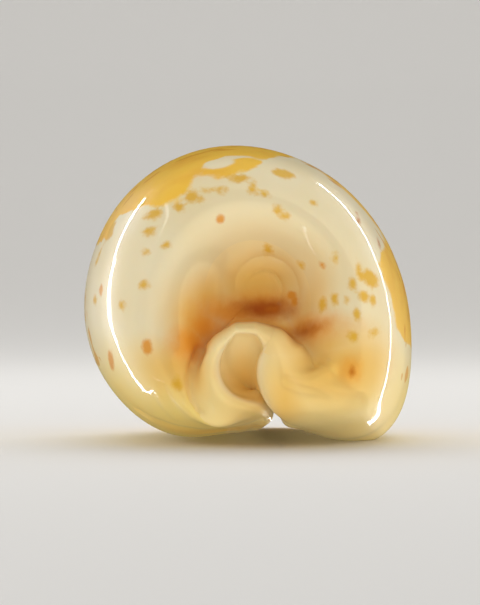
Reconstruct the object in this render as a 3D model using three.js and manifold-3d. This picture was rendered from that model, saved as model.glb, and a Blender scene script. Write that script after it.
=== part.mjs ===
import * as THREE from 'three';
import { ParametricGeometry } from 'three/addons/geometries/ParametricGeometry.js';
import { mergeVertices } from 'three/addons/utils/BufferGeometryUtils.js';
import Module from 'manifold-3d';

// A cowrie shell, in millimetres. Its base rests on z = 0, its spire (posterior) end faces -y,
// its canal (anterior) end +y, and its labral lip is on the +x side of the slit.
// The shell is one closed skin drawn over a net of points: 25 rings, from the bottom of the spire pit
// to the anterior tip. Each ring goes once round the body, over the labral lip, round the hollow
// inside and back over the columellar lip.

// Outline of the widest section, x and z, from the columellar side of the slit over the back.
const OUTLINE = [
  [-3.4, 1.4], [-10.4, -0.9], [-19.2, 2.3], [-27.4, 10.9], [-31, 21.6], [-30, 32.1],
  [-26, 42.1], [-18.9, 49.6], [-9.8, 54.2], [0, 55], [9.3, 52.6], [17.4, 47.8],
  [23.8, 40.8], [28.2, 32.1], [30.6, 21.7], [29.9, 10.7], [28.4, 2.1], [23.6, -2.2],
  [12.9, 0.7],
];
// Centre of the spire pit, x and z.
const PIT = [2.3, 28];
// One line per ring: how far it reaches from the pit to the outline, its y, and the shares of the
// outline between which it runs on the body.
const RINGS = [
  [0, -27, 0.06, 0.965],
  [0.08, -27, 0.08, 0.952],
  [0.16, -27.6, 0.1, 0.94],
  [0.24, -29.4, 0.13, 0.92],
  [0.31, -32.2, 0.16, 0.9],
  [0.385, -35, 0.17, 0.89],
  [0.465, -37, 0.16, 0.885],
  [0.55, -37.9, 0.14, 0.88],
  [0.64, -37.6, 0.11, 0.88],
  [0.745, -35.6, 0.065, 0.885],
  [0.84, -31.4, 0.033, 0.868],
  [0.905, -25, 0.01, 0.88],
  [0.965, -17, 0, 0.94],
  [1, -9, 0, 1],
  [1, 0, 0, 1],
  [1, 9, 0, 1],
  [1, 17, 0, 1],
  [1, 24, 0, 1],
  [1, 30, 0, 1],
  [1, 35, 0, 1],
  [1, 38.6, 0, 1],
  [1, 41.2, 0, 1],
  [1, 43, 0, 1],
  [1, 44, 0, 1],
  [1, 44.05, 0, 1],
];
// The body narrows to the anterior tip: y, then width, height, lift and sideways shift.
const TAPER = [
  [-50, 1, 1, 0, 0],
  [0, 1, 1, 0, 0],
  [9, 0.975, 0.965, 0, 0],
  [17, 0.9, 0.89, 0, 0.2],
  [24, 0.775, 0.77, 0, 0.5],
  [30, 0.61, 0.62, 0.2, 0.9],
  [35, 0.455, 0.48, 0.7, 1.3],
  [38.6, 0.365, 0.385, 1.4, 1.6],
  [41.2, 0.31, 0.31, 2.2, 1.8],
  [43, 0.245, 0.23, 3.4, 1.9],
  [44, 0.14, 0.13, 5, 2],
  [44.05, 0, 0, 9, 2],
];
const LAST_RING = RINGS.length - 1;
const BODY_POINTS = 18;

// A lip is a roll that follows its core. One line per ring, from the brow over the spout to the
// anterior end: the ring, the core's x, y and z, the roll's inner half width, then how far its crest,
// its outer side and its foot lie across the roll and out of it.
const LIP_START = 5;
const LIP_END = 22;
const COLUMELLAR_LIP = [
  [5, -4.9, -39.8, 18.9, 1.5, 0, 1.3, 1.6, -3.6, 0.9, -12],
  [6, -6.6, -39.4, 17, 1.5, 0, 1.3, 1.7, -3, 1.4, -9],
  [7, -7.1, -39, 14, 1.5, 0, 1.3, 1.7, -1.8, 2, -5.5],
  [8, -6.3, -38.4, 10.6, 1.5, 0, 1.2, 1.5, -0.7, 3, -2.6],
  [9, -3.4, -37.6, 7.8, 1.4, 0, 1.1, 1.7, -0.2, 3.8, -1.2],
  [10, 1.2, -36, 7.1, 1.4, 0, 1.1, 1.7, -0.1, 3.8, -0.4],
  [11, 2.6, -30, 6.3, 1.6, -0.6, 1.6, 1.2, 1.2, 3, 1.6],
  [12, 2.1, -21, 5.4, 1.9, -0.9, 2, 1.2, 2.4, 3.2, 3],
  [13, 1.3, -11, 4.8, 2, -1, 2.2, 1.2, 3, 3.2, 3.6],
  [14, 1.3, 0, 4.8, 2, -1, 2.2, 1.2, 3, 3.2, 3.6],
  [15, 1.1, 9, 4.8, 2, -1, 2.2, 1.2, 3, 3.2, 3.6],
  [16, 0.8, 17, 4.9, 2, -1, 2.2, 1.2, 3, 3.2, 3.5],
  [17, 0.4, 24, 5, 1.9, -0.9, 2.2, 1.2, 2.9, 3, 3.3],
  [18, -0.2, 30, 5.2, 1.8, -0.8, 2.1, 1.2, 2.6, 2.8, 2.8],
  [19, -1, 35, 5.8, 1.7, -0.6, 2, 1.2, 2, 2.4, 2],
  [20, -1.9, 38.8, 6.6, 1.6, -0.4, 1.8, 1.2, 1.4, 2, 1],
  [21, -2, 41.2, 7.2, 1.5, -0.2, 1.6, 1.1, 0.8, 1.6, 0.2],
  [22, -0.6, 42.4, 8.2, 1.2, 0, 1.2, 0.9, 0.4, 1.2, 0],
];
const LABRAL_LIP = [
  [5, 4.4, -40.4, 19, 3.1, 0, 1.6, 2.6, -3, 2.2, -11],
  [6, 4.7, -40.4, 16.2, 4, 0, 1.7, 3.2, -1.4, 4.8, -6],
  [7, 4.3, -40.2, 13.2, 4, 0, 1.7, 3.2, -0.5, 6.4, -2.8],
  [8, 4.8, -39.6, 10.2, 3.8, 0, 1.6, 3.8, 0, 8.2, -1.2],
  [9, 6.3, -38.4, 8, 3.3, 0, 1.5, 4.8, 0.4, 10, -0.2],
  [10, 7.2, -36.2, 6, 2.6, -0.4, 1.5, 5.8, 0.8, 12, 0],
  [11, 8, -30, 5.2, 2.6, -0.8, 1.8, 4.6, 1.6, 10, 0.8],
  [12, 8.6, -21, 5, 2.6, -1.2, 2.1, 2.4, 2.6, 6, 2.8],
  [13, 9, -11, 5, 2.6, -1.6, 2.3, 0.6, 3.2, 2.6, 3.8],
  [14, 8.9, 0, 5, 2.6, -1.6, 2.3, 0.6, 3.2, 2.6, 3.8],
  [15, 8.7, 9, 5, 2.6, -1.6, 2.3, 0.6, 3.2, 2.6, 3.8],
  [16, 8.4, 17, 5, 2.6, -1.5, 2.3, 0.6, 3.1, 2.6, 3.7],
  [17, 8, 24, 5, 2.5, -1.3, 2.2, 0.7, 3, 2.5, 3.4],
  [18, 7.6, 30, 5.2, 2.3, -1, 2.1, 0.8, 2.6, 2.4, 2.8],
  [19, 7, 35, 5.8, 2.1, -0.8, 2, 0.9, 2, 2.2, 2],
  [20, 6.2, 38.8, 6.6, 1.9, -0.5, 1.8, 1, 1.4, 2, 1],
  [21, 5.2, 41.2, 7.2, 1.6, -0.2, 1.6, 1.1, 0.8, 1.6, 0.2],
  [22, 3.6, 42.4, 8.2, 1.2, 0, 1.2, 0.9, 0.4, 1.2, 0],
];
// The brow joins the two lips over the spout: share of the way from the labral lip, then as above.
const BROW = [
  [0, ...LABRAL_LIP[0].slice(1)],
  [0.35, 1.1, -41, 21, 1.2, 0, 1.4, 1.5, -4.5, 0.4, -12.5],
  [0.7, -2.4, -41, 21, 1.1, 0, 1.3, 1.4, -4.6, 0.2, -13],
  [1, ...COLUMELLAR_LIP[0].slice(1)],
];
// Places on a roll, counted from its crest; the last is the wall below its inner edge.
const FOOT = -2;
const SIDE = -1;
const CREST = 0;
const EDGE = 1;
const WALL = 2;
// How far the inner edge lies out of the core where the lip faces the spire end and the base, and
// how far the wall starts inside the edge and below the core.
const EDGE_OUT = [0.1, 0.4];
const WALL_INSET = 0.3;
const WALL_DROP = 0.6;
// Rings between which a lip turns from facing the spire end to facing the base.
const LIP_TURN = [9, 11.5];

// The hollow's widest section from the labral lip round to the columellar lip: x, z, and the share
// of its reach into the shoulder round the pit.
const HOLLOW = [
  [18, 4.6, 0], [28.2, 8.5, 0.3], [29.2, 26, 1], [21.5, 43, 1], [5, 52.8, 1], [-14, 51.6, 1], [-28, 38, 1],
  [-29.6, 19, 0.8], [-19.5, 5.5, 0.2], [-7, 7, 0],
];
// The hollow along the shell: ring, y, reach into the shoulder, how far the canal has opened into
// the hollow, the hollow's size and the height of the point it grows from, and the canal's depth.
const HOLLOW_ALONG = [
  [8, -31.5, 0, 0, 0.35, 28, 3.6],
  [9, -29, 0, 0, 0.35, 28, 3.7],
  [10, -26, 0, 0, 0.35, 28, 3.6],
  [11, -24.5, 0, 0.08, 0.4, 28, 3],
  [12, -21.5, 0, 0.8, 0.6, 22, 4],
  [13, -21.5, 14, 1, 0.85, 20, 4],
  [14, -11, 7, 1, 0.98, 10, 4],
  [15, 2, 0, 1, 1, 6, 4],
  [16, 13, 0, 1, 1, 6, 4],
  [17, 21, 0, 1, 0.98, 6, 4],
  [18, 27.5, 0, 1, 0.94, 6, 4],
  [19, 32, 0, 0.95, 0.89, 6, 4],
  [20, 35, 0, 0.5, 0.83, 6, 3],
  [21, 37, 0, 0.1, 0.75, 6, 2],
  [22, 38, 0, 0, 0.7, 6, 0.8],
];
const BASE_WALL = 3;
const LIP_POINTS = 5;
// Behind each lip the hollow starts a little further from the slit and higher.
const LIP_BACK = 1.4;
const LIP_RISE = 1.8;
// Rings between which the canal's floor turns from facing the spire end to facing the base, the
// part of its depth that runs level with the base at the end of the turn, and how round it is.
const CANAL_TURN = [7.8, 11];
const CANAL_LEVEL = 0.75;
const CANAL_ROUND = 0.6;
const RIM_POINTS = 2 * LIP_POINTS + HOLLOW.length + 2;

// Teeth: fine ridges across both edges of the slit.
const TOOTH_PITCH = 2.9;
const TOOTH_SIZE = [1.8, 0.6, 0.6];
const TOOTH_REACH = 0.4;
const RING_TOLERANCE = 1e-6;
const TOOTH_ROWS = [
  { first: -25, last: 35, column: BODY_POINTS + 2.9, inward: 1 },
  { first: -24, last: 34, column: BODY_POINTS + RIM_POINTS - 3.9, inward: -1 },
];

// The net is moved so that the middle of the shell's box stands over the origin.
const PLACE = [0.13, -1.26, 0];

// Facets of the skin: along the shell, and round the body, each lip and the hollow.
const RING_STEPS = 56;
const BODY_STEPS = 28;
const LIP_STEPS = 8;
const HOLLOW_STEPS = 14;

const vec = (x, y, z) => new THREE.Vector3(x, y, z);

function mix(a, b, share) {
  return a + (b - a) * share;
}

function smooth(from, to, at) {
  return THREE.MathUtils.smoothstep(at, from, to);
}

// Reads a table whose first column rises: the other columns at a place in it.
function read(table, at) {
  let line = 0;
  while (line < table.length - 2 && at > table[line + 1][0]) {
    line += 1;
  }
  const [before, after] = [table[line], table[line + 1]];
  const share = THREE.MathUtils.clamp((at - before[0]) / (after[0] - before[0]), 0, 1);
  return before.slice(1).map((value, i) => mix(value, after[i + 1], share));
}

// Point at a share of a smooth path through the outline's points.
function outlinePoint(share) {
  const lengths = [0];
  for (let i = 1; i < OUTLINE.length; i += 1) {
    const step = Math.hypot(OUTLINE[i][0] - OUTLINE[i - 1][0], OUTLINE[i][1] - OUTLINE[i - 1][1]);
    lengths.push(lengths[i - 1] + step);
  }
  const goal = share * lengths[lengths.length - 1];
  let i = 0;
  while (i < OUTLINE.length - 2 && goal > lengths[i + 1]) {
    i += 1;
  }
  const t = (goal - lengths[i]) / (lengths[i + 1] - lengths[i]);
  const last = OUTLINE.length - 1;
  const near = [Math.max(i - 1, 0), i, i + 1, Math.min(i + 2, last)].map((k) => OUTLINE[k]);
  return [0, 1].map((axis) => {
    const [a, b, c, d] = near.map((point) => point[axis]);
    const cubic = (3 * b - a - 3 * c + d) * t ** 3;
    return 0.5 * (2 * b + (c - a) * t + (2 * a - 5 * b + 4 * c - d) * t * t + cubic);
  });
}

function bodyPoint(ring, share) {
  const [reach, y] = RINGS[ring];
  const [width, height, lift, shift] = read(TAPER, y);
  const [x, z] = outlinePoint(share);
  return vec(mix(PIT[0], shift + x * width, reach), y, mix(PIT[1], lift + z * height, reach));
}

// A point of a lip's roll, from its table line, the direction across it and the one out of it.
function rollPoint(line, across, out, place, down) {
  const [x, y, z, half, crestAcross, crestOut, sideAcross, sideOut, footAcross, footOut] = line;
  const offsets = new Map([
    [FOOT, [footAcross, footOut]],
    [SIDE, [sideAcross, sideOut]],
    [CREST, [crestAcross, crestOut]],
    [EDGE, [-half, mix(...EDGE_OUT, down)]],
    [WALL, [WALL_INSET - half, -WALL_DROP - half]],
  ]);
  const [a, o] = offsets.get(place);
  return vec(x, y, z).addScaledVector(across, a).addScaledVector(out, o);
}

// A lip turns from facing the spire end to facing the base, and its brow corner is mitred.
function lipPoint(lip, ring, place) {
  const start = LIP_START + place;
  const end = LIP_START + (place < CREST ? 2 : 4);
  const mitred = place !== CREST && ring < end;
  const at = mitred ? LIP_START + (ring - start) * (end - LIP_START) / (end - start) : ring;
  const down = smooth(...LIP_TURN, at);
  const out = vec(0, down - 1, -down).normalize();
  const side = lip === COLUMELLAR_LIP ? -1 : 1;
  const from = vec(...read(lip, Math.max(at - 0.5, LIP_START)));
  const along = vec(...read(lip, Math.min(at + 0.5, LIP_END))).sub(from).normalize();
  if (at < LIP_START + 1) {
    along.lerpVectors(vec(side, 0, -1).normalize(), along, at - LIP_START).normalize();
  }
  const across = along.cross(out).multiplyScalar(-side).normalize();
  if (ring === LIP_END) {
    across.set(side, 1, 0).normalize();
  }
  return rollPoint(read(lip, at), across, out, place, down);
}

function browPoint(share, place) {
  const across = vec((1 - 2 * share) ** 3, 0, 1).normalize();
  return rollPoint(read(BROW, share), across, vec(0, -1, 0), place, 0);
}

// Labral lip, canal and hollow, and columellar lip of a ring. The first rings pass over the brow.
function rimPoints(ring) {
  const behind = ring - LIP_START;
  const points = [];
  for (let i = 0; i < RIM_POINTS; i += 1) {
    const place = Math.min(i, RIM_POINTS - 1 - i) + FOOT;
    if (place <= behind) {
      const lip = i < RIM_POINTS / 2 ? LABRAL_LIP : COLUMELLAR_LIP;
      points.push(lipPoint(lip, ring, Math.min(place, WALL)));
    } else {
      const first = behind - FOOT;
      const share = (i - first) / (RIM_POINTS - 1 - 2 * first);
      points.push(browPoint(share, Math.min(behind, WALL)));
    }
  }
  if (behind <= WALL) {
    return points;
  }
  const [y, shoulder, opened, size, centre, canal] = read(HOLLOW_ALONG, ring);
  const [width, height, lift, shift] = read(TAPER, y);
  const turn = smooth(...CANAL_TURN, ring);
  const inward = vec(0, 1 - CANAL_LEVEL * turn, turn).normalize();
  const first = points[LIP_POINTS - 1];
  const last = points[RIM_POINTS - LIP_POINTS];
  const middle = PIT[0] * centre / PIT[1];
  const goals = HOLLOW.map(([x, z, reach]) => vec(
    shift + width * mix(middle, x, size),
    y - shoulder * reach,
    lift + height * mix(centre, z, size) + BASE_WALL * (1 - height),
  ));
  goals.unshift(first.clone().add(vec(LIP_BACK, 0, LIP_RISE)));
  goals.push(last.clone().add(vec(-LIP_BACK, 0, LIP_RISE)));
  goals.forEach((goal, i) => {
    const share = (i + 1) / (goals.length + 1);
    const depth = canal * Math.sin(Math.PI * share) ** CANAL_ROUND;
    const floor = first.clone().lerp(last, share).addScaledVector(inward, depth);
    points[LIP_POINTS + i] = floor.lerp(goal, opened);
  });
  return points;
}

// The body's points next to the lips are drawn to the feet of the rolls near the spout.
const HOLD = [[2, 0], [3, 0.7], [4, 1], [9, 1], [10, 0.7], [11, 0.3], [12, 0]];
const HOLD_FADE = [1, 0.62, 0.3, 0.1];
const FOOT_STEP = 2.4;
const FOOT_PULL = 0.4;
// The pit's floor is round: its first two rings' radii.
const PIT_RADII = [2.5, 5];

function ringPoints(ring) {
  const [, , start, end] = RINGS[ring];
  const body = [];
  for (let i = 0; i < BODY_POINTS; i += 1) {
    body.push(bodyPoint(ring, mix(start, end, i / (BODY_POINTS - 1))));
  }
  const bottom = bodyPoint(0, 0.5);
  const tip = bodyPoint(LAST_RING, 0.5);
  let rim;
  if (ring === 0) {
    rim = Array(RIM_POINTS).fill(bottom);
  } else if (ring <= PIT_RADII.length) {
    rim = rimPoints(PIT_RADII.length + 1).map((point) => {
      const away = point.sub(bottom).setY(0).setLength(PIT_RADII[ring - 1]);
      return away.add(bottom).setY(RINGS[ring][1]);
    });
  } else if (ring > LIP_END) {
    rim = rimPoints(LIP_END).map((point) => point.lerp(tip, (ring - LIP_END) / 2));
  } else {
    rim = rimPoints(ring);
  }
  const [hold] = read(HOLD, ring);
  const ends = [
    { foot: rim[RIM_POINTS - 1], side: rim[RIM_POINTS - 2], index: (k) => k },
    { foot: rim[0], side: rim[1], index: (k) => BODY_POINTS - 1 - k },
  ];
  for (const { foot, side, index } of ends) {
    const away = foot.clone().sub(side).setY(0).normalize();
    const goal = foot.clone().addScaledVector(away, FOOT_STEP);
    goal.y = mix(foot.y, body[index(0)].y, FOOT_PULL);
    const pull = goal.sub(body[index(0)]).multiplyScalar(hold);
    HOLD_FADE.forEach((fade, k) => body[index(k)].addScaledVector(pull, fade));
  }
  return [...body, ...rim];
}

const net = RINGS.map((_, ring) => ringPoints(ring));
const COLUMNS = net[0].length;

// Weights of the four net points around a place, for a smooth cubic skin.
function weights(t) {
  const back = 1 - t;
  return [
    back ** 3 / 6,
    (3 * t ** 3 - 6 * t ** 2 + 4) / 6,
    (3 * back ** 3 - 6 * back ** 2 + 4) / 6,
    t ** 3 / 6,
  ];
}

function skinPoint(ring, column, target) {
  const [r, c] = [Math.floor(ring), Math.floor(column)];
  const across = weights(column - c);
  target.set(0, 0, 0);
  weights(ring - r).forEach((ringWeight, i) => {
    const row = net[THREE.MathUtils.clamp(r + i - 1, 0, LAST_RING)];
    across.forEach((weight, k) => {
      const point = row[(c + k - 1 + COLUMNS) % COLUMNS];
      target.addScaledVector(point, ringWeight * weight);
    });
  });
  return target;
}

// Columns are closer together on the lips than in the hollow.
const COLUMN_PLACES = [];
for (const [first, points, steps] of [
  [0, BODY_POINTS, BODY_STEPS],
  [BODY_POINTS, LIP_POINTS, LIP_STEPS],
  [BODY_POINTS + LIP_POINTS, HOLLOW.length + 2, HOLLOW_STEPS],
  [COLUMNS - LIP_POINTS, LIP_POINTS, LIP_STEPS],
]) {
  for (let i = 0; i < steps; i += 1) {
    COLUMN_PLACES.push(first + (points * i) / steps);
  }
}
COLUMN_PLACES.push(COLUMNS);

// Both ends of the skin close to a point beyond the first and the last ring.
const RING_PLACES = [-1];
for (let i = 0; i <= RING_STEPS; i += 1) {
  RING_PLACES.push((LAST_RING * i) / RING_STEPS);
}
RING_PLACES.push(LAST_RING + 1);

// Nothing of the skin reaches below the floor that the shell rests on.
function shellSkin() {
  const around = COLUMN_PLACES.length - 1;
  const along = RING_PLACES.length - 1;
  return new ParametricGeometry((u, v, target) => {
    skinPoint(RING_PLACES[Math.round(v * along)], COLUMN_PLACES[Math.round(u * around)], target);
    target.z = Math.max(target.z, 0);
  }, around, along);
}

// One tooth, laid across the slit's edge where the skin passes a given y.
function tooth(y, { column, inward }) {
  let [low, high] = [LIP_START, LIP_END];
  const place = vec();
  while (high - low > RING_TOLERANCE) {
    const middle = (low + high) / 2;
    if (skinPoint(middle, column, place).y < y) {
      low = middle;
    } else {
      high = middle;
    }
  }
  const outside = skinPoint(low, column - TOOTH_REACH * inward, vec());
  const inside = skinPoint(low, column + TOOTH_REACH * inward, vec());
  const along = inside.sub(outside).setY(0).normalize();
  const slitward = vec(0, 1, 0);
  const out = slitward.clone().cross(along).normalize();
  const ridge = new THREE.OctahedronGeometry(1, 1);
  ridge.scale(...TOOTH_SIZE);
  ridge.applyMatrix4(new THREE.Matrix4().makeBasis(along, slitward, out.negate()).setPosition(place));
  return ridge;
}

const wasm = await Module();
wasm.setup();

function solid(geometry) {
  const bare = geometry.clone();
  bare.deleteAttribute('normal');
  bare.deleteAttribute('uv');
  const welded = mergeVertices(bare);
  const faces = [];
  for (let i = 0; i < welded.index.count; i += 3) {
    const [a, b, c] = [0, 1, 2].map((k) => welded.index.getX(i + k));
    if (a !== b && b !== c && c !== a) {
      faces.push(a, b, c);
    }
  }
  const mesh = new wasm.Mesh({
    numProp: 3,
    vertProperties: new Float32Array(welded.attributes.position.array),
    triVerts: new Uint32Array(faces),
  });
  return new wasm.Manifold(mesh);
}

let shell = solid(shellSkin());
for (const row of TOOTH_ROWS) {
  for (let y = row.first; y <= row.last; y += TOOTH_PITCH) {
    shell = shell.add(solid(tooth(y, row)));
  }
}

const { vertProperties, triVerts } = shell.getMesh();
const geometry = new THREE.BufferGeometry();
geometry.setAttribute('position', new THREE.BufferAttribute(new Float32Array(vertProperties), 3));
geometry.setIndex(new THREE.BufferAttribute(new Uint32Array(triVerts), 1));
geometry.computeVertexNormals();

const porcelain = new THREE.MeshStandardMaterial({ color: 0xe6cf9a, roughness: 0.18, metalness: 0 });
const cowrie = new THREE.Mesh(geometry, porcelain);
cowrie.name = 'cowrie_shell';
cowrie.position.set(...PLACE);

const group = new THREE.Group();
group.name = 'cowrie';
group.add(cowrie);
export default group;
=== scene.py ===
import bmesh
import bpy
import numpy as np
from math import pi, radians, sin
from mathutils import Matrix, Vector, noise
from mathutils.bvhtree import BVHTree


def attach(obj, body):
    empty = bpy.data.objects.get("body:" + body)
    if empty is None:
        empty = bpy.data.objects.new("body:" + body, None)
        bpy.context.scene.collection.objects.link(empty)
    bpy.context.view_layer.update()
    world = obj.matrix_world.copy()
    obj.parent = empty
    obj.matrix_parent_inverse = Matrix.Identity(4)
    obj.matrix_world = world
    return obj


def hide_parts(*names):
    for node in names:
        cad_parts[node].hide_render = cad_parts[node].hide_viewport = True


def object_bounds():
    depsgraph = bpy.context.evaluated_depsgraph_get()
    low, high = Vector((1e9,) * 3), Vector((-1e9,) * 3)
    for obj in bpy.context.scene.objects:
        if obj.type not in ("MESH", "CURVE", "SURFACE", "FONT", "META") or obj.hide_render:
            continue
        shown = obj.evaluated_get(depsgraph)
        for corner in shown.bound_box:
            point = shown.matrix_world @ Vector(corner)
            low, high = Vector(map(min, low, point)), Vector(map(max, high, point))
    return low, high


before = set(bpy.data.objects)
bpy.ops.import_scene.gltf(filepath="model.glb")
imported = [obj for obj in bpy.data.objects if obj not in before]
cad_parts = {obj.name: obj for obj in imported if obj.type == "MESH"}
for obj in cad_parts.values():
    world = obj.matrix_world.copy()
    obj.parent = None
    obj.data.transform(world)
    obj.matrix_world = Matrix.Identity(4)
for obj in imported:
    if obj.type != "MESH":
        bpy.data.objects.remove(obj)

CAD_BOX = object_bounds()


# The shell: a coil grown as one piece, of chalk under glassy enamel, whose last turn hides the others.
# It is one closed skin over a net of 25 rings, from the bottom of the spire pit to the anterior tip. A
# ring goes round the body, over the labral lip, round the hollow and back over the columellar lip.

# Outline of the widest section, x and z, from the columellar side of the slit over the back.
OUTLINE = [
    (-3.4, 1.4), (-10.4, -0.9), (-19.2, 2.3), (-27.4, 10.9), (-31, 21.6), (-30, 32.1),
    (-26, 42.1), (-18.9, 49.6), (-9.8, 54.2), (0, 55), (9.3, 52.6), (17.4, 47.8),
    (23.8, 40.8), (28.2, 32.1), (30.6, 21.7), (29.9, 10.7), (28.4, 2.1), (23.6, -2.2),
    (12.9, 0.7),
]
PIT = (2.3, 28)
# One line per ring: how far it reaches from the pit to the outline, its y, and the shares of the
# outline between which it runs on the body.
RINGS = [
    (0, -27, 0.06, 0.965),
    (0.08, -27, 0.08, 0.952),
    (0.16, -27.6, 0.1, 0.94),
    (0.24, -29.4, 0.13, 0.92),
    (0.31, -32.2, 0.16, 0.9),
    (0.385, -35, 0.17, 0.89),
    (0.465, -37, 0.16, 0.885),
    (0.55, -37.9, 0.14, 0.88),
    (0.64, -37.6, 0.11, 0.88),
    (0.745, -35.6, 0.065, 0.885),
    (0.84, -31.4, 0.033, 0.868),
    (0.905, -25, 0.01, 0.88),
    (0.965, -17, 0, 0.94),
    (1, -9, 0, 1),
    (1, 0, 0, 1),
    (1, 9, 0, 1),
    (1, 17, 0, 1),
    (1, 24, 0, 1),
    (1, 30, 0, 1),
    (1, 35, 0, 1),
    (1, 38.6, 0, 1),
    (1, 41.2, 0, 1),
    (1, 43, 0, 1),
    (1, 44, 0, 1),
    (1, 44.05, 0, 1),
]
# The body narrows to the anterior tip: y, then width, height, lift and sideways shift.
TAPER = [
    (-50, 1, 1, 0, 0),
    (0, 1, 1, 0, 0),
    (9, 0.975, 0.965, 0, 0),
    (17, 0.9, 0.89, 0, 0.2),
    (24, 0.775, 0.77, 0, 0.5),
    (30, 0.61, 0.62, 0.2, 0.9),
    (35, 0.455, 0.48, 0.7, 1.3),
    (38.6, 0.365, 0.385, 1.4, 1.6),
    (41.2, 0.31, 0.31, 2.2, 1.8),
    (43, 0.245, 0.23, 3.4, 1.9),
    (44, 0.14, 0.13, 5, 2),
    (44.05, 0, 0, 9, 2),
]
LAST_RING = len(RINGS) - 1
BODY_POINTS = 18

# A lip is a roll that follows its core: the ring, the core's x, y and z, the roll's inner half
# width, then how far its crest, its outer side and its foot lie across the roll and out of it.
LIP_START, LIP_END = 5, 22
COLUMELLAR_LIP = [
    (5, -4.9, -39.8, 18.9, 1.5, 0, 1.3, 1.6, -3.6, 0.9, -12),
    (6, -6.6, -39.4, 17, 1.5, 0, 1.3, 1.7, -3, 1.4, -9),
    (7, -7.1, -39, 14, 1.5, 0, 1.3, 1.7, -1.8, 2, -5.5),
    (8, -6.3, -38.4, 10.6, 1.5, 0, 1.2, 1.5, -0.7, 3, -2.6),
    (9, -3.4, -37.6, 7.8, 1.4, 0, 1.1, 1.7, -0.2, 3.8, -1.2),
    (10, 1.2, -36, 7.1, 1.4, 0, 1.1, 1.7, -0.1, 3.8, -0.4),
    (11, 2.6, -30, 6.3, 1.6, -0.6, 1.6, 1.2, 1.2, 3, 1.6),
    (12, 2.1, -21, 5.4, 1.9, -0.9, 2, 1.2, 2.4, 3.2, 3),
    (13, 1.3, -11, 4.8, 2, -1, 2.2, 1.2, 3, 3.2, 3.6),
    (14, 1.3, 0, 4.8, 2, -1, 2.2, 1.2, 3, 3.2, 3.6),
    (15, 1.1, 9, 4.8, 2, -1, 2.2, 1.2, 3, 3.2, 3.6),
    (16, 0.8, 17, 4.9, 2, -1, 2.2, 1.2, 3, 3.2, 3.5),
    (17, 0.4, 24, 5, 1.9, -0.9, 2.2, 1.2, 2.9, 3, 3.3),
    (18, -0.2, 30, 5.2, 1.8, -0.8, 2.1, 1.2, 2.6, 2.8, 2.8),
    (19, -1, 35, 5.8, 1.7, -0.6, 2, 1.2, 2, 2.4, 2),
    (20, -1.9, 38.8, 6.6, 1.6, -0.4, 1.8, 1.2, 1.4, 2, 1),
    (21, -2, 41.2, 7.2, 1.5, -0.2, 1.6, 1.1, 0.8, 1.6, 0.2),
    (22, -0.6, 42.4, 8.2, 1.2, 0, 1.2, 0.9, 0.4, 1.2, 0),
]
LABRAL_LIP = [
    (5, 4.4, -40.4, 19, 3.1, 0, 1.6, 2.6, -3, 2.2, -11),
    (6, 4.7, -40.4, 16.2, 4, 0, 1.7, 3.2, -1.4, 4.8, -6),
    (7, 4.3, -40.2, 13.2, 4, 0, 1.7, 3.2, -0.5, 6.4, -2.8),
    (8, 4.8, -39.6, 10.2, 3.8, 0, 1.6, 3.8, 0, 8.2, -1.2),
    (9, 6.3, -38.4, 8, 3.3, 0, 1.5, 4.8, 0.4, 10, -0.2),
    (10, 7.2, -36.2, 6, 2.6, -0.4, 1.5, 5.8, 0.8, 12, 0),
    (11, 8, -30, 5.2, 2.6, -0.8, 1.8, 4.6, 1.6, 10, 0.8),
    (12, 8.6, -21, 5, 2.6, -1.2, 2.1, 2.4, 2.6, 6, 2.8),
    (13, 9, -11, 5, 2.6, -1.6, 2.3, 0.6, 3.2, 2.6, 3.8),
    (14, 8.9, 0, 5, 2.6, -1.6, 2.3, 0.6, 3.2, 2.6, 3.8),
    (15, 8.7, 9, 5, 2.6, -1.6, 2.3, 0.6, 3.2, 2.6, 3.8),
    (16, 8.4, 17, 5, 2.6, -1.5, 2.3, 0.6, 3.1, 2.6, 3.7),
    (17, 8, 24, 5, 2.5, -1.3, 2.2, 0.7, 3, 2.5, 3.4),
    (18, 7.6, 30, 5.2, 2.3, -1, 2.1, 0.8, 2.6, 2.4, 2.8),
    (19, 7, 35, 5.8, 2.1, -0.8, 2, 0.9, 2, 2.2, 2),
    (20, 6.2, 38.8, 6.6, 1.9, -0.5, 1.8, 1, 1.4, 2, 1),
    (21, 5.2, 41.2, 7.2, 1.6, -0.2, 1.6, 1.1, 0.8, 1.6, 0.2),
    (22, 3.6, 42.4, 8.2, 1.2, 0, 1.2, 0.9, 0.4, 1.2, 0),
]
# The brow joins the two lips over the spout: share of the way from the labral lip, then as above.
BROW = [
    (0, *LABRAL_LIP[0][1:]),
    (0.35, 1.1, -41, 21, 1.2, 0, 1.4, 1.5, -4.5, 0.4, -12.5),
    (0.7, -2.4, -41, 21, 1.1, 0, 1.3, 1.4, -4.6, 0.2, -13),
    (1, *COLUMELLAR_LIP[0][1:]),
]
# Places on a roll, counted from its crest; the last is the wall below its inner edge.
FOOT, SIDE, CREST, EDGE, WALL = -2, -1, 0, 1, 2
EDGE_OUT = (0.1, 0.4)
WALL_INSET = 0.3
WALL_DROP = 0.6
# Rings between which a lip turns from facing the spire end to facing the base.
LIP_TURN = (9, 11.5)
# Rings over which the outer and the inner side of a lip turn the corner at the brow.
OUTER_CORNER, INNER_CORNER = 2, 4

# The hollow's widest section from the labral lip round to the columellar lip: x, z, and the share
# of its reach into the shoulder round the pit.
HOLLOW = [
    (18, 4.6, 0), (28.2, 8.5, 0.3), (29.2, 26, 1), (21.5, 43, 1), (5, 52.8, 1),
    (-14, 51.6, 1), (-28, 38, 1), (-29.6, 19, 0.8), (-19.5, 5.5, 0.2), (-7, 7, 0),
]
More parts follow.
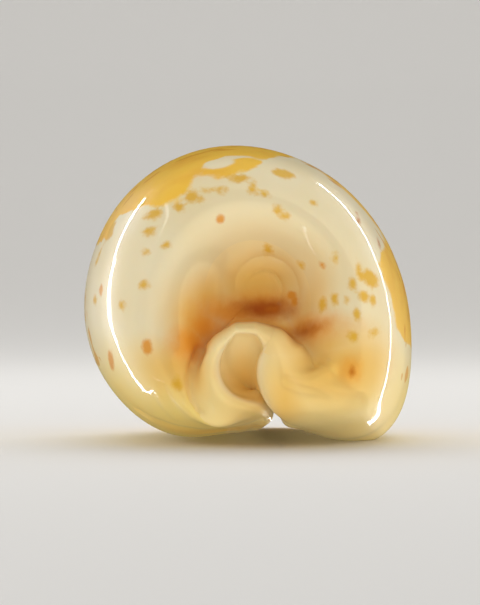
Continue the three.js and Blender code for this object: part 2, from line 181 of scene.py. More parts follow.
# The hollow along the shell: ring, y, reach into the shoulder, how far the canal has opened into
# the hollow, the hollow's size and the height of the point it grows from, and the canal's depth.
HOLLOW_ALONG = [
    (8, -31.5, 0, 0, 0.35, 28, 3.6),
    (9, -29, 0, 0, 0.35, 28, 3.7),
    (10, -26, 0, 0, 0.35, 28, 3.6),
    (11, -24.5, 0, 0.08, 0.4, 28, 3),
    (12, -21.5, 0, 0.8, 0.6, 22, 4),
    (13, -21.5, 14, 1, 0.85, 20, 4),
    (14, -11, 7, 1, 0.98, 10, 4),
    (15, 2, 0, 1, 1, 6, 4),
    (16, 13, 0, 1, 1, 6, 4),
    (17, 21, 0, 1, 0.98, 6, 4),
    (18, 27.5, 0, 1, 0.94, 6, 4),
    (19, 32, 0, 0.95, 0.89, 6, 4),
    (20, 35, 0, 0.5, 0.83, 6, 3),
    (21, 37, 0, 0.1, 0.75, 6, 2),
    (22, 38, 0, 0, 0.7, 6, 0.8),
]
BASE_WALL = 3
LIP_POINTS = 5
# Behind each lip the hollow starts a little further from the slit and higher.
LIP_BACK, LIP_RISE = 1.4, 1.8
CANAL_TURN = (7.8, 11)
CANAL_LEVEL = 0.75
CANAL_ROUND = 0.6
RIM_POINTS = 2 * LIP_POINTS + len(HOLLOW) + 2
COLUMNS = BODY_POINTS + RIM_POINTS
# The body's points next to the lips are drawn to the feet of the rolls near the spout.
HOLD = [(2, 0), (3, 0.7), (4, 1), (9, 1), (10, 0.7), (11, 0.3), (12, 0)]
HOLD_FADE = (1, 0.62, 0.3, 0.1)
FOOT_STEP = 2.4
FOOT_PULL = 0.4
# The pit's floor is round: its first two rings' radii.
PIT_RADII = (2.5, 5)


def mix(a, b, share):
    return a + (b - a) * share


def smooth(start, end, at):
    t = np.clip((at - start) / (end - start), 0, 1)
    return t * t * (3 - 2 * t)


def read(table, at):
    """Reads a table whose first column rises: the other columns at a place in it."""
    columns = np.array(table, float).T
    return [np.interp(at, columns[0], column) for column in columns[1:]]


def unit(v):
    return v / np.linalg.norm(v)


def outline_point(share):
    """Point at a share of a smooth path through the outline's points."""
    points = np.array(OUTLINE, float)
    lengths = np.r_[0, np.cumsum(np.hypot(*np.diff(points, axis=0).T))]
    goal = share * lengths[-1]
    i = np.clip(np.searchsorted(lengths, goal) - 1, 0, len(points) - 2)
    t = (goal - lengths[i]) / (lengths[i + 1] - lengths[i])
    a, b, c, d = points[np.clip([i - 1, i, i + 1, i + 2], 0, len(points) - 1)]
    cubic = (3 * b - a - 3 * c + d) * t ** 3
    return 0.5 * (2 * b + (c - a) * t + (2 * a - 5 * b + 4 * c - d) * t ** 2 + cubic)


def body_point(ring, share):
    reach, y = RINGS[ring][:2]
    width, height, lift, shift = read(TAPER, y)
    x, z = outline_point(share)
    return np.array([mix(PIT[0], shift + x * width, reach), y, mix(PIT[1], lift + z * height, reach)])


def roll_point(line, across, out, place, down):
    x, y, z, half, crest_across, crest_out, side_across, side_out, foot_across, foot_out = line
    offsets = {
        FOOT: (foot_across, foot_out),
        SIDE: (side_across, side_out),
        CREST: (crest_across, crest_out),
        EDGE: (-half, mix(*EDGE_OUT, down)),
        WALL: (WALL_INSET - half, -WALL_DROP - half),
    }
    a, o = offsets[place]
    return np.array([x, y, z]) + across * a + out * o


def lip_point(lip, ring, place):
    """A lip turns from facing the spire end to facing the base, and its brow corner is mitred."""
    start = LIP_START + place
    end = LIP_START + (OUTER_CORNER if place < CREST else INNER_CORNER)
    at = ring
    if place != CREST and ring < end:
        at = LIP_START + (ring - start) * (end - LIP_START) / (end - start)
    down = smooth(*LIP_TURN, at)
    out = unit(np.array([0, down - 1, -down]))
    side = -1 if lip is COLUMELLAR_LIP else 1
    before = np.array(read(lip, max(at - 0.5, LIP_START))[:3])
    along = unit(np.array(read(lip, min(at + 0.5, LIP_END))[:3]) - before)
    if at < LIP_START + 1:
        along = unit(mix(unit(np.array([side, 0, -1])), along, at - LIP_START))
    across = unit(np.cross(along, out) * -side)
    if ring == LIP_END:
        across = unit(np.array([side, 1, 0]))
    return roll_point(read(lip, at), across, out, place, down)


def brow_point(share, place):
    across = unit(np.array([(1 - 2 * share) ** 3, 0, 1]))
    return roll_point(read(BROW, share), across, np.array([0, -1, 0]), place, 0)


def rim_points(ring):
    """Labral lip, canal and hollow, and columellar lip. The first rings pass over the brow."""
    behind = ring - LIP_START
    points = []
    for i in range(RIM_POINTS):
        place = min(i, RIM_POINTS - 1 - i) + FOOT
        if place <= behind:
            lip = LABRAL_LIP if i < RIM_POINTS / 2 else COLUMELLAR_LIP
            points.append(lip_point(lip, ring, min(place, WALL)))
        else:
            first = behind - FOOT
            share = (i - first) / (RIM_POINTS - 1 - 2 * first)
            points.append(brow_point(share, min(behind, WALL)))
    if behind <= WALL:
        return points
    y, shoulder, opened, size, centre, canal = read(HOLLOW_ALONG, ring)
    width, height, lift, shift = read(TAPER, y)
    turn = smooth(*CANAL_TURN, ring)
    inward = unit(np.array([0, 1 - CANAL_LEVEL * turn, turn]))
    first, last = points[LIP_POINTS - 1], points[RIM_POINTS - LIP_POINTS]
    middle = PIT[0] * centre / PIT[1]
    goals = [first + np.array([LIP_BACK, 0, LIP_RISE])]
    for x, z, reach in HOLLOW:
        up = lift + height * mix(centre, z, size) + BASE_WALL * (1 - height)
        goals.append(np.array([shift + width * mix(middle, x, size), y - shoulder * reach, up]))
    goals.append(last + np.array([-LIP_BACK, 0, LIP_RISE]))
    for i, goal in enumerate(goals):
        share = (i + 1) / (len(goals) + 1)
        floor = mix(first, last, share) + inward * canal * sin(pi * share) ** CANAL_ROUND
        points[LIP_POINTS + i] = mix(floor, goal, opened)
    return points


def ring_points(ring):
    start, end = RINGS[ring][2:]
    body = [body_point(ring, share) for share in np.linspace(start, end, BODY_POINTS)]
    bottom, tip = body_point(0, 0.5), body_point(LAST_RING, 0.5)
    if ring == 0:
        rim = [bottom] * RIM_POINTS
    elif ring <= len(PIT_RADII):
        rim = []
        for point in rim_points(len(PIT_RADII) + 1):
            away = unit((point - bottom) * np.array([1, 0, 1]))
            rim.append(np.array([PIT[0], RINGS[ring][1], PIT[1]]) + away * PIT_RADII[ring - 1])
    elif ring > LIP_END:
        rim = [mix(point, tip, (ring - LIP_END) / 2) for point in rim_points(LIP_END)]
    else:
        rim = rim_points(ring)
    hold = read(HOLD, ring)[0]
    for foot, side, steps in ((rim[-1], rim[-2], (0, 1, 2, 3)), (rim[0], rim[1], (-1, -2, -3, -4))):
        away = (foot - side) * np.array([1, 0, 1])
        goal = foot + away / (np.linalg.norm(away) + 1e-9) * FOOT_STEP
        goal[1] = mix(foot[1], body[steps[0]][1], FOOT_PULL)
        pull = (goal - body[steps[0]]) * hold
        for step, fade in zip(steps, HOLD_FADE):
            body[step] = body[step] + pull * fade
    return body + rim


def weights(count, places, closed):
    """Weights of the net's points at places along it, for a smooth cubic skin."""
    before = np.floor(places).astype(int)
    t = places - before
    back = 1 - t
    parts = (
        back ** 3,
        3 * t ** 3 - 6 * t ** 2 + 4,
        3 * back ** 3 - 6 * back ** 2 + 4,
        t ** 3,
    )
    table = np.zeros((len(places), count))
    for step, part in enumerate(parts):
        nearest = before - 1 + step
        nearest = nearest % count if closed else np.clip(nearest, 0, count - 1)
        np.add.at(table, (np.arange(len(places)), nearest), part / 6)
    return table


def places_along(spans):
    """Evenly spaced places in each span of (start, end, steps), with the last end."""
    parts = [np.linspace(start, end, steps, endpoint=False) for start, end, steps in spans]
    return np.concatenate(parts + [[spans[-1][1]]])


# The net is moved so that the middle of the shell's box stands over the origin.
PLACE = np.array([0.13, -1.26, 0])
# Rows are closest where the lips are rolled and toothed, and columns on the lips. Both ends of the
# skin close to a point beyond the first and the last ring.
along = places_along([(0, 5, 50), (5, 12, 84), (12, 21, 120), (21, LAST_RING, 20)])
ROWS = np.concatenate([[-1], along, [LAST_RING + 1]])
ROUND = places_along([
    (0, 4, 36),
    (4, 13, 48),
    (13, BODY_POINTS, 52),
    (BODY_POINTS, BODY_POINTS + LIP_POINTS, 54),
    (BODY_POINTS + LIP_POINTS, COLUMNS - LIP_POINTS, 44),
    (COLUMNS - LIP_POINTS, COLUMNS, 54),
])
net = np.array([ring_points(ring) for ring in range(LAST_RING + 1)])
skin = np.einsum(
    "ri,ijk,cj->rck",
    weights(LAST_RING + 1, ROWS, False),
    net,
    weights(COLUMNS, ROUND, True),
)


def skin_normals(points):
    """Outward unit normals of the skin's grid, whose columns close on themselves."""
    ring = points[:, :-1]
    around = np.roll(ring, -1, 1) - np.roll(ring, 1, 1)
    along = np.gradient(ring, axis=0)
    normals = np.cross(around, along)
    normals /= np.linalg.norm(normals, axis=2, keepdims=True) + 1e-12
    return np.concatenate([normals, normals[:, :1]], axis=1)


# Its relief, all in the same enamel: the coil's last turns on the pit's floor, creases and folds
# beside the spout, fine teeth across both edges of the slit, and slow swells left by growth.
WHORL_RADIUS = 5.5
WHORL_GROWTH = 1.8
WHORL_STEP = 0.5
WHORL_START = 0.75
WHORL_ROUND = 0.6
WHORL_FADES = (1.6, 3.6, 6.4, 9)
# The steps stand full on one side of the pit, at this angle from +x, and are weakest opposite it.
WHORL_FULL = radians(50)
WHORL_WEAKEST = 0.1
TOOTH_PITCH = 2.9
TOOTH_HEIGHT = 0.62
TOOTH_SHARP = 2.2
TOOTH_FADE = 1.5
# For each lip: the first and last tooth's y, and the columns where teeth begin, stand full and end.
TEETH = [
    (-25, 35.4, BODY_POINTS + 1.4, BODY_POINTS + 2.6, BODY_POINTS + 3.6, BODY_POINTS + 4.6),
    (-24, 34.4, COLUMNS - 4.9, COLUMNS - 4, COLUMNS - 3, COLUMNS - 1.6),
]
SWELL_HEIGHT = 0.09
SWELL_SIZE = 13
# Creases (below 0) and folds of the spire end: height, half width in pixels, and the pixels they
# run through. None lies beyond a y of FOLD_REACH.
FOLDS = [
    (0.8, 7, [(300, 350), (308, 361), (318, 368), (328, 370)]),
    (-0.4, 5, [(288, 381), (299, 385), (318, 389), (336, 398), (360, 400)]),
    (0.25, 9, [(300, 402), (330, 414), (365, 418)]),
    (-0.95, 4.5, [(200, 350), (194, 364), (191, 380), (193, 396), (200, 410)]),
    (-0.25, 3, [(163, 386), (168, 398), (181, 414)]),
    (0.25, 3, [(157, 392), (163, 404), (176, 418)]),
    (-0.3, 2, [(138, 411), (150, 418), (175, 427), (200, 431), (225, 431), (245, 427), (262, 421)]),
]
FOLD_REACH = -20

MM = 0.001
# The camera stands level with the shell's middle and half a metre off its spire end. A pixel of
# the picture is 1 / FOCAL of the distance along the view.
PICTURE = (480, 605)
EYE = Vector((-1.47, -501.26, 25.4)) * MM
FOCAL = 2670


def whorl_relief(points, rows):
    """Height of the coil's steps on the pit's floor, lower outside each suture."""
    x, z = points[..., 0] - PIT[0], points[..., 2] - PIT[1]
    radius = np.hypot(x, z) + 1e-6
    turn = np.arctan2(z, x) / (2 * pi)
    phase = np.log(radius / WHORL_RADIUS) / np.log(WHORL_GROWTH) + turn + WHORL_START
    step = phase - np.floor(phase)
    bulge = np.sin(pi * step) ** WHORL_ROUND - 0.5
    inside = smooth(*WHORL_FADES[:2], radius) * (1 - smooth(*WHORL_FADES[2:], radius))
    side = mix(WHORL_WEAKEST, 1, 0.5 + 0.5 * np.cos(2 * pi * turn - WHORL_FULL))
    return WHORL_STEP * bulge * inside * side * (rows < LIP_START)


def tooth_relief(points, columns):
    y = points[..., 1]
    relief = np.zeros(y.shape)
    for first, last, begin, full, still, end in TEETH:
        wave = 0.5 + 0.5 * np.cos(2 * pi * (y - first) / TOOTH_PITCH)
        reach = smooth(begin, full, columns) * (1 - smooth(still, end, columns))
        length = smooth(first - TOOTH_FADE, first, y) * (1 - smooth(last, last + TOOTH_FADE, y))
        relief += TOOTH_HEIGHT * wave ** TOOTH_SHARP * reach * length
    return relief


def seen(points):
    """Pixels of the picture at which points in mm lie."""
    away = points - np.array(EYE) / MM
    scale = FOCAL / away[..., 1]
    return PICTURE[0] / 2 + away[..., 0] * scale, PICTURE[1] / 2 - away[..., 2] * scale


def away_from(px, py, line):
    """Distance in pixels from a line through a row of pixels."""
    nearest = np.inf
    for (ax, ay), (bx, by) in zip(line, line[1:]):
        forward = (px - ax) * (bx - ax) + (py - ay) * (by - ay)
        share = np.clip(forward / ((bx - ax) ** 2 + (by - ay) ** 2), 0, 1)
        nearest = np.minimum(nearest, np.hypot(px - mix(ax, bx, share), py - mix(ay, by, share)))
    return nearest


def fold_relief(points):
    px, py = seen(points)
    relief = np.zeros(px.shape)
    for height, half_width, line in FOLDS:
        relief += height * np.exp(-(away_from(px, py, line) / half_width) ** 2)
    return relief * (points[..., 1] < FOLD_REACH)


def wander(points, size, start=0.0):
    """A slow change over the points, about -0.5 to 0.5, with swells of a size in mm."""
    offset = Vector((start, start, start))
    heights = [noise.noise(Vector(point) / size + offset) for point in points.reshape(-1, 3)]
    return np.array(heights).reshape(points.shape[:2])


rows, columns = np.meshgrid(ROWS, ROUND, indexing="ij")
outside = (columns < BODY_POINTS + EDGE - FOOT) | (columns > COLUMNS - 1 - EDGE + FOOT)
relief = whorl_relief(skin, rows) + tooth_relief(skin, columns)
relief += (SWELL_HEIGHT * wander(skin, SWELL_SIZE) + fold_relief(skin + PLACE)) * outside
relief[:, -1] = relief[:, 0]
skin = skin + skin_normals(skin) * relief[..., None] + PLACE
skin = np.clip(skin, *(np.array(corner) / MM for corner in CAD_BOX))


# Its pigment, laid under the enamel: gold that merges over the back, loose spots and flecks, amber
# clouds beside the spout and a rust stain in the pit. Its tan clouds are partly pigment and partly
# painted shade. Each kind is kept as a distance inside its edge, in mm: below 0 outside it, and about
# -FAR where there is none near.
FAR = 50.0
# Spots on the spire end: the pixel of each one's middle, its width and height in pixels.
GOLD_SPOTS = [
    (216, 189, 16, 6), (201, 200, 6, 5), (179, 208, 9, 8), (190, 196, 14, 14), (252, 187, 7, 13),
    (265, 194, 8, 7), (283, 173, 22, 10), (277, 211, 9, 9), (284, 216, 8, 5), (312, 202, 6, 5),
    (154, 214, 16, 9), (149, 231, 12, 7), (145, 251, 8, 6), (144, 285, 9, 7), (268, 250, 8, 8),
    (301, 265, 6, 6), (336, 258, 6, 10), (359, 268, 7, 14), (370, 278, 22, 15), (352, 283, 8, 12),
    (364, 297, 9, 12), (322, 305, 7, 14), (334, 299, 5, 9), (357, 314, 7, 10), (374, 333, 8, 7),
    (354, 336, 9, 9), (98, 258, 8, 7), (111, 231, 9, 12), (178, 383, 9, 12), (95, 300, 5, 7),
    (121, 305, 6, 9), (166, 245, 6, 5), (373, 300, 6, 10), (347, 300, 5, 6), (240, 178, 20, 8),
]
ORANGE_SPOTS = [
    (220, 219, 9, 9), (322, 265, 5, 5), (147, 347, 11, 15), (101, 290, 5, 11), (111, 361, 6, 18),
    (397, 265, 3, 12), (404, 290, 3, 14), (405, 331, 3, 13), (291, 295, 8, 8), (294, 301, 5, 9),
]
BROWN_SPOTS = [(358, 218, 4, 10), (352, 372, 7, 12), (271, 309, 16, 5), (379, 243, 3, 9)]
# Clouds without an edge, the same way. The tan ones are partly tan pigment and partly painted shade in
# the pit, in the valleys beside the spout, in the spout's hollow and below the callus edge.
TAN_AND_SHADE_CLOUDS = [
    (192, 318, 34, 70), (176, 366, 56, 44), (345, 366, 100, 60), (256, 284, 80, 56),
    (243, 381, 32, 56), (330, 345, 76, 34), (205, 296, 44, 40), (285, 400, 20, 50),
    (222, 429, 90, 9), (285, 328, 60, 8),
]
AMBER_CLOUDS = [
    (236, 313, 84, 26), (192, 344, 26, 34), (205, 328, 30, 30), (264, 308, 60, 28),
    (351, 370, 14, 18), (310, 330, 40, 20), (304, 330, 30, 20), (244, 313, 50, 20),
]
RUST_CLOUDS = [(264, 309, 46, 17), (271, 308, 30, 15), (306, 331, 16, 7)]
# Where the back's gold begins: pixels on the spire end from the right round the top to the left, and
# where they are out of sight, an angle round the pit from +x, in degrees, and y in mm.
BACK_SEEN = [
    (404, 342), (397, 330), (392, 306), (386, 284), (380, 264), (381, 249), (386, 246), (360, 206),
    (314, 169), (300, 161), (288, 157), (272, 158), (262, 163), (248, 171), (232, 176), (215, 177),
    (203, 175), (197, 178), (190, 192), (178, 202), (157, 207), (132, 212), (118, 216), (113, 224),
    (108, 240),
]
BACK_HIDDEN = [(-170, 8), (-150, 18), (-120, 32), (-90, 40), (-60, 30), (-35, 14), (-24, 0)]
BACK_LEFT = [(168, -6), (180, 4)]
# On the spire end the gold stays this far from the pit's middle.
BACK_CLEAR = 16
# Gaps in the gold through which the cream shows, given as the spots are.
PALE_WINDOWS = [
    (219, 163, 31, 12), (228, 158, 20, 7), (247, 157, 18, 4), (263, 160, 10, 4), (278, 161, 12, 4),
]
# Away from the spire end the gold is patchy, with loose flecks in its gaps and down the sides. Their
# fades are ranges of y, and the flecks' foot is a range of height.
PATCH_SIZE, PATCH_DEPTH, PATCH_REACH = 9, 10, 3
PATCH_FADE = (-26, -8)
FLECK_SIZE, FLECK_DEPTH, FLECK_SHARE, FLECK_START = 2.9, 9, 2.6, 7.3
FLECK_FADE, FLECK_FOOT = (-26, -20), (7, 12)
# The enamel is buttery below this height. Within this distance of the pit's middle it turns honey,
# partly a warmer tint and partly painted shade of the hollow.
BUTTER_HEIGHT = 14
HONEY_RADIUS = 11.5
# The lips' own tint starts this many columns of the net before the labral lip, and ends this many
# after the columellar lip.
LIP_TINT = (2, 1)
# A pale band along the edges of the lips, partly their pale enamel and partly a painted highlight on
# the rolled edges, in columns or rings of the net to each side.
RIM_HALF, RIM_NONE = 0.3, 9


def place_mesh(points):
    """The skin as a grid of faces, closed round and at both ends."""
    bm = bmesh.new()
    bmesh.ops.create_grid(bm, x_segments=len(ROUND) - 1, y_segments=len(ROWS) - 1, size=1)
    bm.verts.ensure_lookup_table()
    for vert, point in zip(bm.verts, points.reshape(-1, 3)):
        vert.co = point * MM
    bm.normal_update()
    return bm


bm = place_mesh(skin)
tree = BVHTree.FromBMesh(bm)


def surface_at(px, py):
    """Place and normal of the shell at a pixel of the picture, and the size of a pixel there."""
    ray = Vector(((px - PICTURE[0] / 2) / FOCAL, 1, (PICTURE[1] / 2 - py) / FOCAL))
    place, normal, _, _ = tree.ray_cast(EYE, ray.normalized())
    return place, normal, (place.y - EYE.y) / FOCAL


# A spot on a slope is longer than it looks, by 1 / STEEPEST at most, and it reaches into the shell by
# SPOT_DEPTH mm or more.
STEEPEST, SPOT_DEPTH = 0.4, 4


def inside_spots(points, spots):
    """Distance inside the nearest of the spots, in mm; below 0 outside them all."""
    best = np.full(points.shape[:2], -FAR)
    for px, py, width, height in spots:
        place, normal, pixel = surface_at(px, py)
        right = (Vector((1, 0, 0)) - normal * normal.x).normalized()
        up = normal.cross(right)
        half_width = 0.5 * width * pixel / MM / max(abs(right.x), STEEPEST)
        half_height = 0.5 * height * pixel / MM / max(abs(up.z), STEEPEST)
        away = points - np.array(place) / MM
        across = away @ np.array(right) / half_width
        upward = away @ np.array(up) / half_height
        through = away @ np.array(normal) / max(half_width, half_height, SPOT_DEPTH)
        reach = np.sqrt(across ** 2 + upward ** 2 + through ** 2)
        best = np.maximum(best, (1 - reach) * min(half_width, half_height))
    return best


def angle_of(x, z):
    """Angle round the pit from +x, in degrees."""
    return np.degrees(np.arctan2(z - PIT[1], x - PIT[0]))


def from_pit(points):
    """Distance from the middle of the pit across the shell, in mm."""
    return np.hypot(points[..., 0] - PIT[0], points[..., 2] - PIT[1])


def inside_back(points):
    """Distance beyond the gold's edge, with its patches, and outside its pale windows."""
    edge = BACK_HIDDEN + BACK_LEFT
    for pixel in BACK_SEEN:
        place = np.array(surface_at(*pixel)[0]) / MM
        edge.append((angle_of(place[0], place[2]), place[1]))
    edge = np.array(sorted(edge))
    y = points[..., 1]
    beyond = y - np.interp(angle_of(points[..., 0], points[..., 2]), *edge.T)
    clear = from_pit(points) - BACK_CLEAR
    beyond = np.where(y < FOLD_REACH, np.minimum(beyond, clear), beyond)
    patches = PATCH_DEPTH * wander(points, PATCH_SIZE) * smooth(*PATCH_FADE, y)
    gold = np.minimum(beyond, PATCH_REACH) + patches
    return np.minimum(gold, -2 * inside_spots(points, PALE_WINDOWS))


def inside_flecks(points):
    """Flecks end before the spire end and above the base."""
    flecks = FLECK_DEPTH * wander(points, FLECK_SIZE, FLECK_START) - FLECK_SHARE
    room = smooth(*FLECK_FADE, points[..., 1]) * smooth(*FLECK_FOOT, points[..., 2])
    return flecks - FLECK_DEPTH * (1 - room)


def inside_lips(rows, columns):
    """Columns of the net inside the lips, from just above the spout on."""
    inside = np.minimum(columns - BODY_POINTS + LIP_TINT[0], COLUMNS + LIP_TINT[1] - columns)
    return inside * (rows > LIP_START - 1)


def inside_pale_highlit_rim(rows, columns):
    """The lips' edges, and where they meet over the spout: a pale band that is partly a painted
    highlight.
    """
    labral, columellar = BODY_POINTS + EDGE - FOOT, COLUMNS - 1 - EDGE + FOOT
    beside = np.minimum(abs(columns - labral), abs(columns - columellar))
    between = (columns > labral) & (columns < columellar)
    above = np.where(between, abs(rows - LIP_START - EDGE), RIM_HALF + RIM_NONE)
    return RIM_HALF - np.where(rows > LIP_START + EDGE, beside, above)


fields = {
    "gold": inside_spots(skin, GOLD_SPOTS),
    "orange": inside_spots(skin, ORANGE_SPOTS),
    "brown": inside_spots(skin, BROWN_SPOTS),
    "tan": inside_spots(skin, TAN_AND_SHADE_CLOUDS),
    "amber": inside_spots(skin, AMBER_CLOUDS),
    "rust": inside_spots(skin, RUST_CLOUDS),
    "back": inside_back(skin),
    "flecks": inside_flecks(skin),
    "low": BUTTER_HEIGHT - skin[..., 2],
    "pit": HONEY_RADIUS - from_pit(skin) - FAR * (skin[..., 1] > FOLD_REACH),
    "lip": inside_lips(rows, columns),
    "rim": inside_pale_highlit_rim(rows, columns),
}
for name, values in fields.items():
    layer = bm.verts.layers.float.new(name)
    for vert, value in zip(bm.verts, values.reshape(-1)):
        vert[layer] = value
bmesh.ops.remove_doubles(bm, verts=bm.verts, dist=1e-6)
bmesh.ops.recalc_face_normals(bm, faces=bm.faces)
for face in bm.faces:
    face.smooth = True
mesh = bpy.data.meshes.new("shell")
bm.to_mesh(mesh)
bm.free()
shell = bpy.data.objects.new("shell", mesh)
bpy.context.scene.collection.objects.link(shell)


# Its enamel: a thin glassy layer over slightly translucent chalk, cream where it has no pigment. Each
# tint, whether pigment or painted shade and highlight, is laid over the ones before it.
CREAM = (0.82, 0.69, 0.41)
PALE = (0.86, 0.77, 0.54)
# Honey: partly warmer enamel and partly painted shade of the pit.
SHADED_HONEY = (0.80, 0.58, 0.20)
BUTTER = (0.93, 0.70, 0.20)
GOLD = (0.92, 0.54, 0.045)
SPOT = (0.76, 0.43, 0.03)
FLECK = (0.74, 0.34, 0.02)
ORANGE = (0.74, 0.29, 0.02)
BROWN = (0.55, 0.16, 0.01)
TAN_AND_SHADE = (0.82, 0.47, 0.08)
AMBER = (0.84, 0.32, 0.015)
RUST = (0.38, 0.06, 0.002)
LIP = (0.94, 0.74, 0.35)

# The colour sockets of a Mix node, whose names it uses more than once.
MIX_SHARE, MIX_UNDER, MIX_OVER, MIX_RESULT = 0, 6, 7, 2


class Nodes:
    """Adds nodes to a material and links them by socket name."""

    def __init__(self, material):
        material.use_nodes = True
        self.tree = material.node_tree
        self.tree.nodes.clear()

    def add(self, kind, settings=None, **inputs):
        node = self.tree.nodes.new(kind)
        for name, value in (settings or {}).items():
            setattr(node, name, value)
        for name, value in inputs.items():
            self.put(node.inputs[name.replace("_", " ")], value)
        return node

    def put(self, socket, value):
        """Links a socket to another, or gives it a plain value."""
        if isinstance(value, bpy.types.NodeSocket):
            self.tree.links.new(value, socket)
        elif socket.type == "RGBA" and len(value) == 3:
            socket.default_value = (*value, 1)
        else:
            socket.default_value = value

    def math(self, operation, *values):
        node = self.add("ShaderNodeMath", {"operation": operation})
        for socket, value in zip(node.inputs, values):
            self.put(socket, value)
        return node.outputs[0]

    def noise(self, scale, detail=2.0, roughness=0.5, stretch=(1, 1, 1), seed=0.0):
        """Noise of a scale per metre, about -1 to 1."""
        place = self.add("ShaderNodeTexCoord").outputs["Object"]
        mapped = self.add("ShaderNodeMapping", Vector=place, Scale=stretch, Location=(seed, seed, 0))
        texture = self.add(
            "ShaderNodeTexNoise",
            Vector=mapped.outputs[0], Scale=scale, Detail=detail, Roughness=roughness,
        )
        centred = self.math("SUBTRACT", texture.outputs[0], 0.5)
        return self.math("MULTIPLY", centred, 3.0)

    def mask(self, field, blur, *wanders):
        """Share of a pigment: 1 inside its edge, which wanders with noise and is blur mm soft."""
        value = self.add("ShaderNodeAttribute", {"attribute_name": field}).outputs["Fac"]
        for wander, amount in wanders:
            value = self.math("MULTIPLY_ADD", wander, amount, value)
        ramp = self.add(
            "ShaderNodeMapRange", {"interpolation_type": "SMOOTHSTEP"},
            Value=value, From_Min=-blur, From_Max=blur,
        )
        return ramp.outputs[0]

    def tint(self, share, under, over, strength=1.0):
        """Lays one colour over another."""
        node = self.add("ShaderNodeMix", {"data_type": "RGBA"})
        self.put(node.inputs[MIX_SHARE], self.math("MULTIPLY", share, strength))
        self.put(node.inputs[MIX_UNDER], under)
        self.put(node.inputs[MIX_OVER], over)
        return node.outputs[MIX_RESULT]


enamel = bpy.data.materials.new("enamel")
nodes = Nodes(enamel)
broad = nodes.noise(70, detail=1.0)
edge = nodes.noise(420, detail=3.0, roughness=0.6)
blotches = nodes.noise(130, detail=2.0, seed=0.9)
windows = nodes.noise(150, detail=2.5, stretch=(1, 0.7, 1), seed=0.4)

color = nodes.tint(nodes.math("MULTIPLY_ADD", broad, 0.5, 0.5), CREAM, PALE)
color = nodes.tint(nodes.mask("low", 8.0, (broad, 3.0)), color, BUTTER, 0.9)
# Honey round the pit: partly warmer enamel, partly painted shade darkening the hollow.
color = nodes.tint(nodes.mask("pit", 8.0, (broad, 3.0)), color, SHADED_HONEY, 0.45)
color = nodes.tint(nodes.mask("lip", 1.2), color, LIP, 0.7)
# Pale rim on the lips' edges: partly pale enamel, partly a painted highlight.
color = nodes.tint(nodes.mask("rim", 0.45), color, PALE, 0.6)
# Tan: partly pigment, partly painted shade in the hollows and valleys.
color = nodes.tint(nodes.mask("tan", 4.5, (broad, 1.2)), color, TAN_AND_SHADE, 0.85)
color = nodes.tint(nodes.mask("amber", 2.2, (edge, 0.6)), color, AMBER, 0.85)
color = nodes.tint(nodes.mask("back", 0.9, (windows, 1.6), (edge, 0.8)), color, GOLD, 0.95)
deep = nodes.math("MULTIPLY", nodes.mask("back", 2.5), nodes.math("MAXIMUM", blotches, 0.0))
color = nodes.tint(deep, color, ORANGE, 0.45)
color = nodes.tint(nodes.mask("flecks", 0.7, (edge, 0.6)), color, FLECK, 0.8)
color = nodes.tint(nodes.mask("gold", 0.6, (edge, 0.8)), color, SPOT, 0.88)
color = nodes.tint(nodes.mask("rust", 1.6, (edge, 0.4)), color, RUST, 0.95)
color = nodes.tint(nodes.mask("orange", 0.4, (edge, 0.5)), color, ORANGE, 0.85)
color = nodes.tint(nodes.mask("brown", 0.5, (edge, 0.4)), color, BROWN, 0.85)

ripples = nodes.noise(260, detail=1.0)
bump = nodes.add("ShaderNodeBump", Strength=0.25, Distance=0.00012, Height=ripples)
shader = nodes.add(
    "ShaderNodeBsdfPrincipled",
    Base_Color=color, Roughness=0.45, IOR=1.2, Normal=bump.outputs[0],
    Subsurface_Weight=0.15, Subsurface_Radius=(1.0, 0.6, 0.3), Subsurface_Scale=0.0012,
    Coat_Weight=0.4, Coat_Roughness=0.05, Coat_IOR=1.5,
)
output = nodes.add("ShaderNodeOutputMaterial")
nodes.tree.links.new(shader.outputs[0], output.inputs[0])
mesh.materials.append(enamel)
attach(shell, "root")
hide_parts("cowrie_shell")


# The stage: a pale paper floor that sweeps up behind the shell. It throws no shadow, so that a lamp
# below reaches the shell's underside.
HALF_FLOOR = 8
SWEEP = [
    (-8, 0), (-7, 0), (-1, 0), (-0.5, 0), (0, 0), (0.5, 0), (0.9, 0), (1.2, 0.06), (1.45, 0.25),
    (1.55, 0.6), (1.55, 1.5), (1.55, 1.6),
]
bm = bmesh.new()
lines = [[bm.verts.new((x, y, z)) for x in (-HALF_FLOOR, HALF_FLOOR)] for y, z in SWEEP]
for (a, b), (c, d) in zip(lines, lines[1:]):
    bm.faces.new((a, b, d, c)).smooth = True
floor_mesh = bpy.data.meshes.new("floor")
bm.to_mesh(floor_mesh)
bm.free()
floor = bpy.data.objects.new("floor", floor_mesh)
bpy.context.scene.collection.objects.link(floor)
bend = floor.modifiers.new("sweep", "SUBSURF")
bend.levels = bend.render_levels = 3
paper = bpy.data.materials.new("paper")
nodes = Nodes(paper)
shader = nodes.add("ShaderNodeBsdfPrincipled", Base_Color=(0.8, 0.79, 0.77, 1), Roughness=0.9)
output = nodes.add("ShaderNodeOutputMaterial")
nodes.tree.links.new(shader.outputs[0], output.inputs[0])
floor_mesh.materials.append(paper)
floor.visible_glossy = False
floor.visible_shadow = False


# The lamps: curved strips that the enamel mirrors as two long highlights and two faint sheens, and
# broad soft panels above, in front, below and on both sides that light it. The pixels are those where
# a strip is mirrored.
MIDDLE = Vector((0, 0, 0.028))
STRIP_AWAY = 0.6
STRIP_DEGREE = 3
STRIP_LAMPS = 7
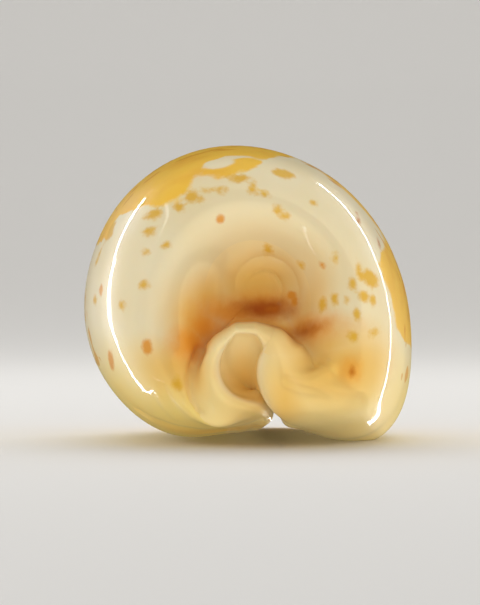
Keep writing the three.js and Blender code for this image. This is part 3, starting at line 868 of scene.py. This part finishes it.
# Each strip's name, its pixels, width in metres and radiance.
STRIPS = [
    ("left_strip", [(145, 198), (121, 242), (109, 282), (111, 320), (124, 354), (151, 394)], 0.022, 50),
    ("left_core", [(115, 262), (109, 290), (109, 316), (116, 342)], 0.04, 50),
    (
        "right_strip",
        [(318, 183), (360, 231), (382, 280), (393, 320), (389, 363), (377, 400), (370, 427)],
        0.010, 55,
    ),
    ("left_sheen", [(166, 203), (167, 216), (162, 232), (152, 248)], 0.016, 10),
    ("right_sheen", [(304, 226), (306, 236), (310, 246), (316, 256)], 0.016, 9),
]
# Each panel's name, the middles of its top and bottom edges, width in metres and radiance.
PANELS = [
    ("overhead", (0, 0.1, 0.85), (0, 0.7, 0.65), 0.9, 1.9),
    ("low_front", (0.1, -0.9, 0.5), (0.1, -0.9, 0.03), 0.8, 0.5),
    ("under_front", (0, -1.0, -0.1), (0, -0.3, -0.6), 1.6, 1.85),
    ("left_side", (-0.8, 0.1, 0.5), (-0.8, 0.1, -0.2), 0.8, 1.0),
    ("right_side", (0.8, 0.1, 0.5), (0.8, 0.1, -0.2), 0.8, 1.1),
]


def panel_light(name, top, bottom, width, radiance, mirrored_only=False):
    """A flat lamp between two points, facing the shell. It only lights, or is only mirrored."""
    centre = (top + bottom) / 2
    light = bpy.data.lights.new(name, "AREA")
    light.shape = "RECTANGLE"
    light.size, light.size_y = width, (top - bottom).length
    light.energy = radiance * pi * light.size * light.size_y
    lamp = bpy.data.objects.new(name, light)
    bpy.context.scene.collection.objects.link(lamp)
    upward = (top - bottom).normalized()
    sideways = upward.cross(centre - MIDDLE).normalized()
    turn = Matrix((sideways, upward, sideways.cross(upward))).transposed().to_4x4()
    lamp.matrix_world = Matrix.Translation(centre) @ turn
    lamp.visible_glossy = mirrored_only
    lamp.visible_diffuse = not mirrored_only


def mirrored(pixel):
    """Where a lamp stands that the enamel mirrors at a pixel of the picture."""
    place, normal, _ = surface_at(*pixel)
    return place + STRIP_AWAY * (place - EYE).normalized().reflect(normal)


def strip_light(name, pixels, width, radiance):
    """A curved strip of lamps that the enamel mirrors along a line of pixels."""
    points = np.array([mirrored(pixel) for pixel in pixels])
    curve = np.polyfit(np.linspace(0, 1, len(points)), points, STRIP_DEGREE)
    shares = np.linspace(0, 1, STRIP_LAMPS + 1)
    powers = shares[:, None] ** np.arange(STRIP_DEGREE, -1, -1)
    ends = [Vector(point) for point in powers @ curve]
    for i, (top, bottom) in enumerate(zip(ends, ends[1:])):
        panel_light(f"{name}_{i}", top, bottom, width, radiance, mirrored_only=True)


for name, pixels, width, radiance in STRIPS:
    strip_light(name, pixels, width, radiance)
for name, top, bottom, width, radiance in PANELS:
    panel_light(name, Vector(top), Vector(bottom), width, radiance)

world = bpy.data.worlds.new("studio")
world.use_nodes = True
background = world.node_tree.nodes["Background"]
background.inputs["Color"].default_value = (1, 0.98, 0.95, 1)
background.inputs["Strength"].default_value = 0.57
world.cycles_visibility.glossy = False
bpy.context.scene.world = world

SENSOR = 36
camera_data = bpy.data.cameras.new("camera")
camera_data.sensor_width = SENSOR
camera_data.lens = SENSOR * FOCAL / max(PICTURE)
camera_data.clip_start = 0.01
camera = bpy.data.objects.new("camera", camera_data)
camera.location = EYE
camera.rotation_euler = (pi / 2, 0, 0)
bpy.context.scene.collection.objects.link(camera)
bpy.context.scene.camera = camera
bpy.context.scene.view_settings.view_transform = "Standard"
